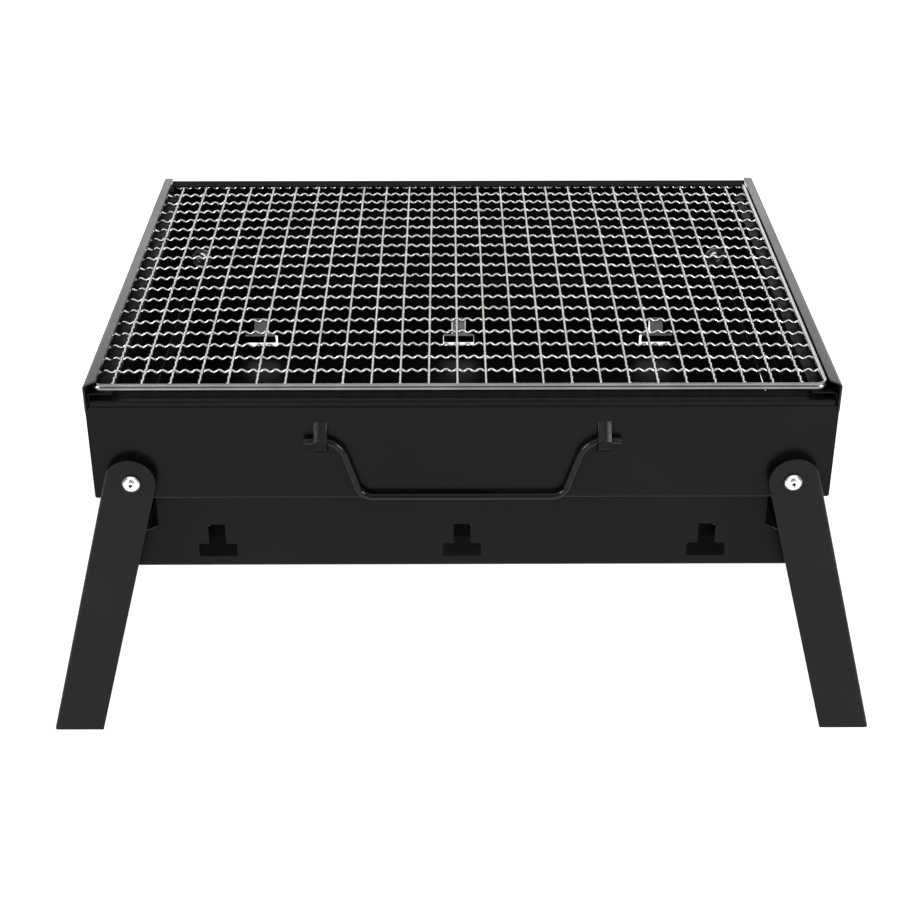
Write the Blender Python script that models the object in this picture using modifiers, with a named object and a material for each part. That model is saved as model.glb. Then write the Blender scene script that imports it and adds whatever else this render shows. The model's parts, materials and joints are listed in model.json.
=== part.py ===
"""A folding camp grill: a sheet-metal body with a fire tray that drops out of it,
two U-shaped folding legs, a wire carry handle and a wire grate that slides out.

Metres, +Z up. The origin is on the ground under the middle of the grill. X runs
across the width, and the front, with the carry handle, faces -Y.
"""
import math

import bmesh
import bpy
from mathutils import Matrix, Vector

# Driving dimensions. A drop is measured down from the rim.
RIM_HEIGHT = 0.197
BODY_WIDTH = 0.3524
BODY_DEPTH = 0.270
BODY_DROP = 0.0619
SHEET = 0.0008
BEND_RADIUS = 0.0013
GAP = 0.0003
# How far a cutter runs past the sheet that it cuts.
CUT_PAST = 0.005

# Body walls.
FRONT_LEDGE_DROP = 0.0091
FRONT_LEDGE = 0.008
REAR_TOP_DROP = 0.0004
REAR_FLANGE = 0.007
BOTTOM_LIP = 0.0133
WALL_CORNER_RADIUS = 0.0018
END_WALL_WIDTH = 0.350
END_LEDGE_DROP = 0.0055
END_LEDGE = 0.012
END_LIP = 0.0095
CORNER_FLANGE = 0.0105

# Grate rails along the two ends.
RAIL_FLANGE = 0.0052
RAIL_SKIRT_DROP = 0.0145
RAIL_OVERHANG = 0.001

# Fire tray, in its dropped position.
TRAY_TOP_DROP = 0.060
TRAY_BOTTOM_DROP = 0.1096
TRAY_LENGTH = 0.3264
TRAY_DEPTH = 0.2414
TRAY_FLANGE_DEPTH = 0.266
TRAY_END_FLANGE = 0.008
TRAY_NOTCH_X = 0.150
TRAY_NOTCH_DROP = 0.086
TRAY_NOTCH_SLOPE_DROP = 0.094

# T-shaped air vents, three in the front of the tray and three in its back.
VENT_PITCH = 0.1214
VENT_TOP_DROP = 0.0851
VENT_STEM_WIDTH = 0.0084
VENT_STEM_LENGTH = 0.010
VENT_BAR_WIDTH = 0.0198
VENT_BAR_LENGTH = 0.0087
VENT_CORNER_RADIUS = 0.0009
TAB_CLEARANCE = 0.0003
TAB_DROOP = math.radians(20)

# Legs. Each is a U: a front and a rear strip, joined by a web near the foot.
PIVOT_X = 0.1572
PIVOT_DROP = 0.0503
LEG_SPLAY = math.radians(15)
LEG_SHEET = 0.001
LEG_STANDOFF = 0.0043
LEG_INNER = 0.0114
LEG_OUTER = 0.0129
LEG_WEB_SHEET = 0.0008
LEG_WEB_START = 0.118
STOP_TAB_START = 0.0156
STOP_TAB_END = 0.030
STOP_TAB_DEPTH = 0.0123
# The web's cut-outs stop short of the strips' inner faces, at the bend.
WEB_BEND_INSET = 0.0002
PIVOT_HOLE_RADIUS = 0.0026

# Pivot rivets, with a spacer and a washer each.
SHANK_RADIUS = 0.0023
HEAD_RADIUS = 0.0048
HEAD_HEIGHT = 0.0024
TAIL_RADIUS = 0.004
TAIL_END_RADIUS = 0.0032
TAIL_HEIGHT = 0.0012
SPACER_RADIUS = 0.0065
WASHER_RADIUS = 0.006
WASHER_THICKNESS = 0.001

# Carry handle and the straps that hold it.
HANDLE_WIRE = 0.0035
HANDLE_DROP = 0.0292
HANDLE_STANDOFF = 0.0021
HANDLE_END_X = 0.075
HANDLE_SHOULDER_X = 0.0662
HANDLE_SHOULDER_RADIUS = 0.0110
HANDLE_ELBOW_RADIUS = 0.008
HANDLE_BAR_DROP = 0.0595
HANDLE_TURN = math.radians(72)
STRAP_X = 0.0668
STRAP_WIDTH = 0.0061
STRAP_TOP_DROP = 0.0200
STRAP_BOTTOM_DROP = 0.0365
STRAP_BULGE = 0.0049
STRAP_SLOPE_HEIGHT = 0.0035
STRAP_BEND_RADIUS = 0.0011
STRAP_ROOT = 0.001

# Wire grate. It sits a little to the left in its rails.
GRATE_DROP = 0.0034
GRATE_OFFSET_X = -0.0014
GRATE_WIDTH = 0.3416
GRATE_DEPTH = 0.2632
BORDER_WIRE = 0.0034
BORDER_CORNER_RADIUS = 0.004
MESH_WIRE = 0.0013
MESH_COLUMNS = 13
MESH_ROWS = 10

BLACK_PAINT = ((0.025, 0.025, 0.027, 1.0), 0.42, 0.0)
BRIGHT_STEEL = ((0.72, 0.72, 0.73, 1.0), 0.25, 1.0)
ZINC_STEEL = ((0.55, 0.55, 0.57, 1.0), 0.38, 1.0)

HALF_SHEET = SHEET / 2


def clear_scene():
    for obj in list(bpy.data.objects):
        bpy.data.objects.remove(obj, do_unlink=True)


def make_collection(name):
    collection = bpy.data.collections.new(name)
    bpy.context.scene.collection.children.link(collection)
    return collection


clear_scene()
PARTS = make_collection("folding_camp_grill")
CUTTERS = make_collection("cutters")


def paint(obj, finish):
    """Give an object a material of its own, from (colour, roughness, metallic)."""
    colour, roughness, metallic = finish
    material = bpy.data.materials.new(obj.name + "_finish")
    material.use_nodes = True
    shader = material.node_tree.nodes["Principled BSDF"]
    shader.inputs["Base Color"].default_value = colour
    shader.inputs["Roughness"].default_value = roughness
    shader.inputs["Metallic"].default_value = metallic
    material.diffuse_color = colour
    obj.data.materials.clear()
    obj.data.materials.append(material)


def new_object(name, data, collection=None):
    obj = bpy.data.objects.new(name, data)
    (collection or PARTS).objects.link(obj)
    return obj


def mesh_object(name, bm, collection=None):
    mesh = bpy.data.meshes.new(name)
    bm.to_mesh(mesh)
    bm.free()
    return new_object(name, mesh, collection)


def as_cutter(obj):
    obj.hide_render = True
    obj.display_type = "WIRE"
    return obj


def combine(target, tool, operation):
    """Cut, join or trim a piece with a tool object that isn't a part itself."""
    modifier = target.modifiers.new(operation.lower() + "_" + tool.name, "BOOLEAN")
    modifier.operation = operation
    modifier.object = as_cutter(tool)


# Outlines and paths in two dimensions.

def arc(centre, radius, start, turn, steps):
    """Points on an arc, from angle start through turn, both in radians."""
    angles = [start + turn * step / steps for step in range(steps + 1)]
    return [centre + radius * Vector((math.cos(a), math.sin(a))) for a in angles]


def fillet(before, corner, after, radius, steps):
    """The arc that rounds one corner of a path."""
    back = (before - corner).normalized()
    ahead = (after - corner).normalized()
    half_angle = back.angle(ahead) / 2
    reach = radius / math.tan(half_angle)
    centre = corner + (back + ahead).normalized() * radius / math.sin(half_angle)
    first = corner + back * reach - centre
    last = corner + ahead * reach - centre
    turn = math.atan2(first.x * last.y - first.y * last.x, first.dot(last))
    return arc(centre, radius, math.atan2(first.y, first.x), turn, steps)


def rounded_path(corners, radius, steps=3):
    """An open path through the corners, with every inner corner rounded."""
    points = [Vector(corner) for corner in corners]
    path = [points[0]]
    for before, corner, after in zip(points, points[1:], points[2:]):
        path += fillet(before, corner, after, radius, steps)
    return path + [points[-1]]


def rounded_outline(corners, radii, steps=3):
    """A closed outline whose corners are rounded by their own radii, or by one."""
    points = [Vector(corner) for corner in corners]
    if not isinstance(radii, (list, tuple)):
        radii = [radii] * len(points)
    outline = []
    for index, (corner, radius) in enumerate(zip(points, radii)):
        if radius:
            after = points[(index + 1) % len(points)]
            outline += fillet(points[index - 1], corner, after, radius, steps)
        else:
            outline.append(corner)
    return outline


def rectangle(half_x, half_y, centre_x=0.0, centre_y=0.0):
    signs = ((-1, -1), (1, -1), (1, 1), (-1, 1))
    return [Vector((centre_x + sx * half_x, centre_y + sy * half_y)) for sx, sy in signs]


# Solids from outlines and paths.

def bent_sheet(name, path, span):
    """Sheet bent along a path in local Y and Z, the middle of its thickness,
    and running along local X."""
    bm = bmesh.new()
    verts = [bm.verts.new((-span / 2, point.x, point.y)) for point in path]
    edges = [bm.edges.new(pair) for pair in zip(verts, verts[1:])]
    grown = bmesh.ops.extrude_edge_only(bm, edges=edges)["geom"]
    moved = [item for item in grown if isinstance(item, bmesh.types.BMVert)]
    bmesh.ops.translate(bm, verts=moved, vec=(span, 0, 0))
    bmesh.ops.recalc_face_normals(bm, faces=bm.faces)
    obj = mesh_object(name, bm)
    solidify = obj.modifiers.new("sheet", "SOLIDIFY")
    solidify.thickness = SHEET
    solidify.offset = 0.0
    solidify.use_even_offset = True
    return obj


def flat_curve(name, outlines, thickness):
    """A 2D curve, filled and extruded. Outlines inside the first one are holes."""
    curve = bpy.data.curves.new(name, "CURVE")
    curve.dimensions = "2D"
    curve.fill_mode = "BOTH"
    curve.extrude = thickness / 2
    for outline in outlines:
        spline = curve.splines.new("POLY")
        spline.points.add(len(outline) - 1)
        for point, place in zip(spline.points, outline):
            point.co = (place.x, place.y, 0.0, 1.0)
        spline.use_cyclic_u = True
    return curve


def plate(name, outlines, thickness, collection=None, turn=None):
    """A flat plate as a welded mesh. turn lays its outline in another plane."""
    curve = flat_curve(name, outlines, thickness)
    source = new_object(name + "_curve", curve, collection)
    bpy.context.view_layer.update()
    evaluated = source.evaluated_get(bpy.context.evaluated_depsgraph_get())
    mesh = bpy.data.meshes.new_from_object(evaluated)
    bpy.data.objects.remove(source, do_unlink=True)
    bpy.data.curves.remove(curve)
    bm = bmesh.new()
    bm.from_mesh(mesh)
    bpy.data.meshes.remove(mesh)
    bmesh.ops.remove_doubles(bm, verts=bm.verts, dist=1e-6)
    bmesh.ops.recalc_face_normals(bm, faces=bm.faces)
    if turn is not None:
        bmesh.ops.transform(bm, matrix=turn, verts=bm.verts)
    return mesh_object(name, bm, collection)


# Outline (x, y) laid in the XZ plane, with the thickness along Y.
UPRIGHT = Matrix.Rotation(math.radians(90), 4, "X")
# Outline (x, y) laid in the YZ plane, with the thickness along X.
SIDEWAYS = Matrix.Rotation(math.radians(90), 4, "Z") @ UPRIGHT


def rod_cutter(name, radius, length, location):
    """A round cutter along Y."""
    bm = bmesh.new()
    bmesh.ops.create_cone(bm, cap_ends=True, segments=24, radius1=radius,
                          radius2=radius, depth=length)
    bmesh.ops.transform(bm, matrix=UPRIGHT, verts=bm.verts)
    obj = mesh_object(name, bm, CUTTERS)
    obj.location = location
    return obj


def wire(name, points, diameter, closed=False, resolution=2):
    """A round wire along 3D points."""
    curve = bpy.data.curves.new(name, "CURVE")
    curve.dimensions = "3D"
    curve.bevel_depth = diameter / 2
    curve.bevel_resolution = resolution
    curve.use_fill_caps = not closed
    spline = curve.splines.new("POLY")
    spline.points.add(len(points) - 1)
    for point, place in zip(spline.points, points):
        point.co = (*place, 1.0)
    spline.use_smooth = True
    spline.use_cyclic_u = closed
    return new_object(name, curve)


def turned(name, profile, closed=False):
    """A turned piece about local Z. The profile is (radius, height) points."""
    bm = bmesh.new()
    verts = [bm.verts.new((radius, 0.0, height)) for radius, height in profile]
    ends = verts[1:] + verts[:1] if closed else verts[1:]
    for first, last in zip(verts, ends):
        bm.edges.new((first, last))
    obj = mesh_object(name, bm)
    screw = obj.modifiers.new("turn", "SCREW")
    screw.steps = 24
    screw.render_steps = 24
    screw.use_merge_vertices = True
    screw.merge_threshold = 1e-6
    screw.use_smooth_shade = True
    return obj


# Body.

def wall_outline(notch_x):
    """Trims a long wall: rounded lower corners, and upper corners that leave
    room for the ends of the grate rails."""
    half = BODY_WIDTH / 2
    notch_y = -(RAIL_SKIRT_DROP + GAP)
    lip_clearance = 0.0001
    foot_y = -BODY_DROP - lip_clearance
    corners = [(-half, foot_y), (half, foot_y), (half, notch_y), (notch_x, notch_y),
               (notch_x, CUT_PAST), (-notch_x, CUT_PAST), (-notch_x, notch_y),
               (-half, notch_y)]
    radii = [WALL_CORNER_RADIUS, WALL_CORNER_RADIUS] + [0] * 6
    return rounded_outline(corners, radii, steps=4)


def long_wall(name, top_drop, top_flange, notch_x):
    """Front or rear wall. Local Y points into the body, from its outer face."""
    top = -top_drop - HALF_SHEET
    bottom = -BODY_DROP + HALF_SHEET
    path = rounded_path([(top_flange, top), (HALF_SHEET, top), (HALF_SHEET, bottom),
                         (BOTTOM_LIP, bottom)], BEND_RADIUS)
    wall = bent_sheet(name, path, BODY_WIDTH + 2 * CUT_PAST)
    trim_depth = 2 * (BOTTOM_LIP + CUT_PAST)
    trim = plate(name + "_trim", [wall_outline(notch_x)], trim_depth, CUTTERS, UPRIGHT)
    place_wall(wall)
    place_wall(trim)
    combine(wall, trim, "INTERSECT")
    for side in (-1, 1):
        centre = Vector((side * PIVOT_X, wall.location.y, RIM_HEIGHT - PIVOT_DROP))
        hole = rod_cutter(f"{name}_hole_{side}", PIVOT_HOLE_RADIUS, 2 * CUT_PAST, centre)
        combine(wall, hole, "DIFFERENCE")
    paint(wall, BLACK_PAINT)
    return wall


def place_wall(obj):
    """Front pieces face -Y. Rear ones are turned about Z."""
    rear = obj.name.startswith("rear")
    obj.rotation_euler.z = math.pi if rear else 0.0
    obj.location = (0, (1 if rear else -1) * BODY_DEPTH / 2, RIM_HEIGHT)


def strap_path():
    """Lanced strap that bulges out round the handle wire, as (outward, height)."""
    top = -STRAP_TOP_DROP
    bottom = -STRAP_BOTTOM_DROP
    out = -STRAP_BULGE
    into = HALF_SHEET
    return rounded_path([(into, top + STRAP_ROOT), (into, top),
                         (out, top - STRAP_SLOPE_HEIGHT), (out, bottom + STRAP_SLOPE_HEIGHT),
                         (into, bottom), (into, bottom - STRAP_ROOT)], STRAP_BEND_RADIUS)


def add_straps(wall):
    """Cut a slot in the front wall for each strap, and join the strap across it."""
    middle = -(STRAP_TOP_DROP + STRAP_BOTTOM_DROP) / 2
    half_slot = (STRAP_BOTTOM_DROP - STRAP_TOP_DROP) / 2 - HALF_SHEET
    for side in (-1, 1):
        outline = rectangle(STRAP_WIDTH / 2 + GAP, half_slot, side * STRAP_X, middle)
        slot = plate(f"strap_slot_{side}", [outline], 2 * CUT_PAST, CUTTERS, UPRIGHT)
        slot.location = wall.location
        combine(wall, slot, "DIFFERENCE")
        strap = bent_sheet(f"strap_{side}", strap_path(), STRAP_WIDTH)
        PARTS.objects.unlink(strap)
        CUTTERS.objects.link(strap)
        strap.location = wall.location + Vector((side * STRAP_X, 0, 0))
        combine(wall, strap, "UNION")


def end_piece(name, path, span, distance, side):
    """Sheet along one end of the body. Local Y points into the body."""
    obj = bent_sheet(name, path, span)
    obj.rotation_euler.z = side * math.radians(90)
    obj.location = (side * distance, 0, RIM_HEIGHT)
    paint(obj, BLACK_PAINT)
    return obj


def end_wall(name, side):
    top = -END_LEDGE_DROP - HALF_SHEET
    bottom = -BODY_DROP + SHEET + GAP + HALF_SHEET
    path = rounded_path([(END_LEDGE, top), (HALF_SHEET, top), (HALF_SHEET, bottom),
                         (END_LIP, bottom)], BEND_RADIUS)
    room = BODY_DEPTH - 2 * (SHEET + GAP)
    wall = end_piece(name, path, room - 2 * GAP, END_WALL_WIDTH / 2, side)
    flange_top = -RAIL_SKIRT_DROP
    flange_bottom = bottom + HALF_SHEET + BEND_RADIUS
    for front in (-1, 1):
        outline = rectangle(CORNER_FLANGE / 2, (flange_top - flange_bottom) / 2,
                            -side * CORNER_FLANGE / 2, (flange_top + flange_bottom) / 2)
        flange = plate(f"{name}_flange_{front}", [outline], SHEET, CUTTERS, UPRIGHT)
        edge_x = side * (END_WALL_WIDTH - GAP) / 2
        flange.location = (edge_x, front * (room - SHEET) / 2, RIM_HEIGHT)
        combine(wall, flange, "UNION")
    return wall


def grate_rail(name, side):
    """Angle strip over the top of an end wall. The grate slides in under it."""
    path = rounded_path([(RAIL_FLANGE, -HALF_SHEET), (HALF_SHEET, -HALF_SHEET),
                         (HALF_SHEET, -RAIL_SKIRT_DROP)], BEND_RADIUS)
    return end_piece(name, path, BODY_DEPTH + 2 * RAIL_OVERHANG, BODY_WIDTH / 2, side)


# Fire tray.

def vent_outline(clearance=0.0, root=0.0):
    """An upside-down T from its top edge down. root extends the stem upwards."""
    stem = VENT_STEM_WIDTH / 2 - clearance
    bar = VENT_BAR_WIDTH / 2 - clearance
    shoulder = -VENT_STEM_LENGTH - clearance
    foot = -VENT_STEM_LENGTH - VENT_BAR_LENGTH + clearance
    corners = [(-stem, root), (-stem, shoulder), (-bar, shoulder), (-bar, foot),
               (bar, foot), (bar, shoulder), (stem, shoulder), (stem, root)]
    round_it = VENT_CORNER_RADIUS
    radii = [0, 0, round_it, round_it, round_it, round_it, 0, 0]
    return rounded_outline(corners, radii)


def add_vents(shell):
    """Cut each T vent through the front and back, and bend its tab inwards."""
    for column in (-1, 0, 1):
        x = column * VENT_PITCH
        cutter = plate(f"vent_{column}", [vent_outline()], TRAY_DEPTH + 2 * CUT_PAST,
                       CUTTERS, UPRIGHT)
        cutter.location = (x, 0, RIM_HEIGHT - VENT_TOP_DROP)
        combine(shell, cutter, "DIFFERENCE")
        for front in (-1, 1):
            tab = plate(f"vent_tab_{column}_{front}",
                        [vent_outline(TAB_CLEARANCE, HALF_SHEET / 2)], SHEET, CUTTERS)
            # Local -Y runs along the tab: turn it into the tray, drooping.
            tab.rotation_euler = (TAB_DROOP, 0, math.pi if front < 0 else 0)
            y = front * (TRAY_DEPTH / 2 - HALF_SHEET)
            tab.location = (x, y, RIM_HEIGHT - VENT_TOP_DROP + HALF_SHEET / 2)
            combine(shell, tab, "UNION")


def tray_shell():
    """Front, floor and back of the tray in one sheet, with a flange along each
    top edge that rests on the body's bottom lip."""
    side = TRAY_DEPTH / 2 - HALF_SHEET
    reach = TRAY_FLANGE_DEPTH / 2
    top = -TRAY_TOP_DROP - HALF_SHEET
    bottom = -TRAY_BOTTOM_DROP + HALF_SHEET
    path = rounded_path([(-reach, top), (-side, top), (-side, bottom),
                         (side, bottom), (side, top), (reach, top)], BEND_RADIUS)
    shell = bent_sheet("tray_shell", path, TRAY_LENGTH)
    shell.location = (0, 0, RIM_HEIGHT)
    for end in (-1, 1):
        inner = end * TRAY_NOTCH_X
        outer = end * (TRAY_LENGTH / 2 + CUT_PAST)
        above = -TRAY_TOP_DROP + CUT_PAST
        corners = [Vector(corner) for corner in (
            (inner, above), (outer, above), (outer, -TRAY_NOTCH_SLOPE_DROP),
            (inner, -TRAY_NOTCH_DROP))]
        notch = plate(f"tray_notch_{end}", [corners], TRAY_FLANGE_DEPTH + 2 * CUT_PAST,
                      CUTTERS, UPRIGHT)
        notch.location = shell.location
        combine(shell, notch, "DIFFERENCE")
    add_vents(shell)
    paint(shell, BLACK_PAINT)


def tray_end(name, side):
    bottom = -TRAY_BOTTOM_DROP + SHEET + GAP + HALF_SHEET
    path = rounded_path([(HALF_SHEET, -TRAY_TOP_DROP), (HALF_SHEET, bottom),
                         (TRAY_END_FLANGE, bottom)], BEND_RADIUS)
    end_piece(name, path, TRAY_DEPTH - 2 * (SHEET + GAP), TRAY_LENGTH / 2, side)


# Legs and their pivots.

def leg_outline(side):
    """A strip with a round top about the pivot and a foot cut level with the
    ground once the leg is splayed. side is -1 for the left leg."""
    inner = -side * LEG_INNER
    outer = side * LEG_OUTER
    middle = Vector(((inner + outer) / 2, 0.0))
    radius = (LEG_INNER + LEG_OUTER) / 2
    top = arc(middle, radius, 0.0, math.pi, 16)
    edges = sorted((inner, outer))
    return [Vector((edges[0], foot_height(edges[0], side))),
            Vector((edges[1], foot_height(edges[1], side)))] + top


def foot_height(x, side):
    """Local height of the foot's level cut at local x."""
    pivot_height = RIM_HEIGHT - PIVOT_DROP
    return (-pivot_height - side * x * math.sin(LEG_SPLAY)) / math.cos(LEG_SPLAY)


def web_openings():
    """What is cut out of the outer web, leaving the stop tabs and the foot web."""
    full = BODY_DEPTH / 2 + LEG_STANDOFF - WEB_BEND_INSET
    between_tabs = full - STOP_TAB_DEPTH
    above_top = LEG_OUTER + CUT_PAST
    levels = [(full, above_top), (full, -STOP_TAB_START), (between_tabs, -STOP_TAB_START),
              (between_tabs, -STOP_TAB_END), (full, -STOP_TAB_END), (full, -LEG_WEB_START)]
    right = [Vector(level) for level in levels]
    left = [Vector((-level.x, level.y)) for level in reversed(right)]
    return right + left


def leg(name, side):
    pivot = Vector((side * PIVOT_X, 0, RIM_HEIGHT - PIVOT_DROP))
    inside = BODY_DEPTH + 2 * LEG_STANDOFF
    solid = plate(name, [leg_outline(side)], inside + 2 * LEG_SHEET, None, UPRIGHT)
    web_face = LEG_OUTER - LEG_WEB_SHEET
    reach = LEG_INNER + 2 * CUT_PAST
    hollow_outline = rectangle((reach + web_face) / 2, pivot.z, side * (web_face - reach) / 2,
                               LEG_OUTER + CUT_PAST - pivot.z)
    hollow = plate(name + "_hollow", [hollow_outline], inside, CUTTERS, UPRIGHT)
    openings = plate(name + "_openings", [web_openings()], 2 * CUT_PAST, CUTTERS, SIDEWAYS)
    hole = rod_cutter(name + "_hole", PIVOT_HOLE_RADIUS, inside + 4 * CUT_PAST, (0, 0, 0))
    inner_overlap = 0.001
    openings.location.x = side * (web_face - inner_overlap + CUT_PAST)
    for tool in (hollow, openings, hole):
        tool.parent = solid
        combine(solid, tool, "DIFFERENCE")
    solid.location = pivot
    solid.rotation_euler.y = -side * LEG_SPLAY
    paint(solid, BLACK_PAINT)


def rivet_profile():
    """Domed head, shank and upset tail. Zero height is the wall's outer face,
    and height grows outwards."""
    head_base = LEG_STANDOFF + LEG_SHEET + GAP
    quarter = arc(Vector((0.0, 0.0)), 1.0, math.pi / 2, -math.pi / 2, 5)
    dome = [(HEAD_RADIUS * point.x, head_base + HEAD_HEIGHT * point.y) for point in quarter]
    washer_face = -SHEET - GAP - WASHER_THICKNESS - GAP
    tail_end = washer_face - TAIL_HEIGHT
    return dome + [(SHANK_RADIUS, head_base), (SHANK_RADIUS, washer_face),
                   (TAIL_RADIUS, washer_face), (TAIL_END_RADIUS, tail_end),
                   (0.0, tail_end)]


def ring_profile(outer, low, high):
    inner = PIVOT_HOLE_RADIUS
    return [(outer, high), (outer, low), (inner, low), (inner, high)]


def pivots():
    """A rivet, a spacer and a washer at each of the four leg pivots."""
    spacer = ring_profile(SPACER_RADIUS, GAP, LEG_STANDOFF - GAP)
    washer_top = -SHEET - GAP
    washer = ring_profile(WASHER_RADIUS, washer_top - WASHER_THICKNESS, washer_top)
    for front, front_name in ((-1, "front"), (1, "rear")):
        for side, side_name in ((-1, "left"), (1, "right")):
            place = f"{front_name}_{side_name}"
            pieces = (turned("pivot_rivet_" + place, rivet_profile()),
                      turned("leg_spacer_" + place, spacer, closed=True),
                      turned("rivet_washer_" + place, washer, closed=True))
            for piece, finish in zip(pieces, (BRIGHT_STEEL, ZINC_STEEL, ZINC_STEEL)):
                piece.location = (side * PIVOT_X, front * BODY_DEPTH / 2,
                                  RIM_HEIGHT - PIVOT_DROP)
                piece.rotation_euler.x = -front * math.radians(90)
                paint(piece, finish)


# Carry handle.

def half_handle():
    """Right half of the handle's centre line, from its tail to the middle of
    its bar, in X and Z about the hinge axis."""
    shoulder = Vector((HANDLE_SHOULDER_X, -HANDLE_SHOULDER_RADIUS))
    upper = arc(shoulder, HANDLE_SHOULDER_RADIUS, math.pi / 2, HANDLE_TURN, 8)
    bar = -(HANDLE_BAR_DROP - HANDLE_DROP)
    elbow_rise = HANDLE_ELBOW_RADIUS * (1 - math.cos(HANDLE_TURN))
    slope = Vector((-math.cos(HANDLE_TURN), -math.sin(HANDLE_TURN)))
    straight = (upper[-1].y - (bar + elbow_rise)) / -slope.y
    lower_start = upper[-1] + slope * straight
    normal = Vector((slope.y, -slope.x))
    elbow = lower_start + normal * HANDLE_ELBOW_RADIUS
    start = math.atan2(-normal.y, -normal.x)
    lower = arc(elbow, HANDLE_ELBOW_RADIUS, start, -HANDLE_TURN, 6)
    return [Vector((HANDLE_END_X, 0.0))] + upper + lower


def carry_handle():
    right = half_handle()
    left = [Vector((-point.x, point.y)) for point in reversed(right)]
    points = [Vector((point.x, 0, point.y)) for point in right + left]
    handle = wire("carry_handle", points, HANDLE_WIRE, resolution=3)
    handle.location = (0, -BODY_DEPTH / 2 - HANDLE_STANDOFF, RIM_HEIGHT - HANDLE_DROP)
    paint(handle, BLACK_PAINT)


# Grate.

def grate():
    outline = rounded_outline(rectangle(GRATE_WIDTH / 2, GRATE_DEPTH / 2),
                              BORDER_CORNER_RADIUS, steps=4)
    border = wire("grate_border", [point.to_3d() for point in outline], BORDER_WIRE,
                  closed=True)
    half_x = (GRATE_WIDTH - BORDER_WIRE) / 2 - GAP
    half_y = (GRATE_DEPTH - BORDER_WIRE) / 2 - GAP
    pitch_x = (2 * half_x - MESH_WIRE) / MESH_COLUMNS
    pitch_y = (2 * half_y - MESH_WIRE) / MESH_ROWS
    cells = []
    for column in range(MESH_COLUMNS):
        for row in range(MESH_ROWS):
            x = (column + 0.5 - MESH_COLUMNS / 2) * pitch_x
            y = (row + 0.5 - MESH_ROWS / 2) * pitch_y
            cells.append(rectangle((pitch_x - MESH_WIRE) / 2, (pitch_y - MESH_WIRE) / 2, x, y))
    rim = rounded_outline(rectangle(half_x, half_y), BORDER_CORNER_RADIUS / 2)
    mesh = plate("grate_mesh", [rim] + cells, MESH_WIRE)
    for piece in (border, mesh):
        piece.location = (GRATE_OFFSET_X, 0, RIM_HEIGHT - GRATE_DROP)
        paint(piece, BRIGHT_STEEL)


def build():
    front = long_wall("front_wall", FRONT_LEDGE_DROP, FRONT_LEDGE,
                      END_WALL_WIDTH / 2 - SHEET - GAP)
    add_straps(front)
    long_wall("rear_wall", REAR_TOP_DROP, REAR_FLANGE,
              BODY_WIDTH / 2 - RAIL_FLANGE - GAP)
    for side, side_name in ((-1, "left"), (1, "right")):
        end_wall("end_wall_" + side_name, side)
        grate_rail("grate_rail_" + side_name, side)
        tray_end("tray_end_" + side_name, side)
        leg("leg_" + side_name, side)
    tray_shell()
    pivots()
    carry_handle()
    grate()


build()
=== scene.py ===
"""Looks of a folding camp grill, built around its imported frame.

Metres, +Z up. X runs across the width, and the front, with the carry handle,
faces -Y. Sheet pieces are rebuilt with round bends and round edges, the grate is
woven wire by wire, and every piece rides on the body of the node it stands for.
"""
import json
import math

import bmesh
import bpy
import numpy as np
from mathutils import Matrix, Vector

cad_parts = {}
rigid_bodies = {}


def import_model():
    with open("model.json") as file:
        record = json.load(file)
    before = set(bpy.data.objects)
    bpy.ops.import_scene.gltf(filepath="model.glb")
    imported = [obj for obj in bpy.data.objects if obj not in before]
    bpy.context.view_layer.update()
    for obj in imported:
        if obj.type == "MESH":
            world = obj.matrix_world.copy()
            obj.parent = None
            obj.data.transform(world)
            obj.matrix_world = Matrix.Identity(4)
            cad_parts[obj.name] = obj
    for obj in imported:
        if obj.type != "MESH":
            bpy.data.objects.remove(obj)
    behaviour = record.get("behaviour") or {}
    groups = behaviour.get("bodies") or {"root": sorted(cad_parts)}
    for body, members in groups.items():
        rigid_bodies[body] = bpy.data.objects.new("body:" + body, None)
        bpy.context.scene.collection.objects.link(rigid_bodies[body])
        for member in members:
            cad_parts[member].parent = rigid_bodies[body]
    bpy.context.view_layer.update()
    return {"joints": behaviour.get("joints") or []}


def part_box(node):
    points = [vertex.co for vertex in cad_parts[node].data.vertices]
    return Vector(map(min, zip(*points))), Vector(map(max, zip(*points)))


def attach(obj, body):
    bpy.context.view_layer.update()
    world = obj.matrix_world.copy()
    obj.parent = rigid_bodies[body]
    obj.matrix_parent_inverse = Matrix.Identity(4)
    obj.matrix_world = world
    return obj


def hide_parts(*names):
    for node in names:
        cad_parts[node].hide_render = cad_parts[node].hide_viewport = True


for leftover in list(bpy.data.objects):
    bpy.data.objects.remove(leftover, do_unlink=True)

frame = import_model()

JOINTS = {joint["name"]: joint for joint in frame["joints"]}

# Driving places, from the frame.
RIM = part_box("grate_rail_left")[1].z
BODY_HALF_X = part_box("rear_wall")[1].x
BODY_HALF_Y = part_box("rear_wall")[1].y
BODY_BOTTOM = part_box("rear_wall")[0].z
END_FACE_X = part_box("end_wall_right")[1].x
RAIL_END_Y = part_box("grate_rail_right")[1].y
TRAY_LOW, TRAY_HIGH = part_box("tray_shell")
PIVOT_X = JOINTS["leg_right_fold"]["pos_m"][0]
PIVOT_Z = JOINTS["leg_right_fold"]["pos_m"][2]
HANDLE_Y = JOINTS["handle_swing"]["pos_m"][1]
HANDLE_Z = JOINTS["handle_swing"]["pos_m"][2]
HANDLE_LOW, HANDLE_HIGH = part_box("carry_handle")
BORDER_LOW, BORDER_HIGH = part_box("grate_border")
RIVET_LOW, RIVET_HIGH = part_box("pivot_rivet_rear_right")

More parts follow.
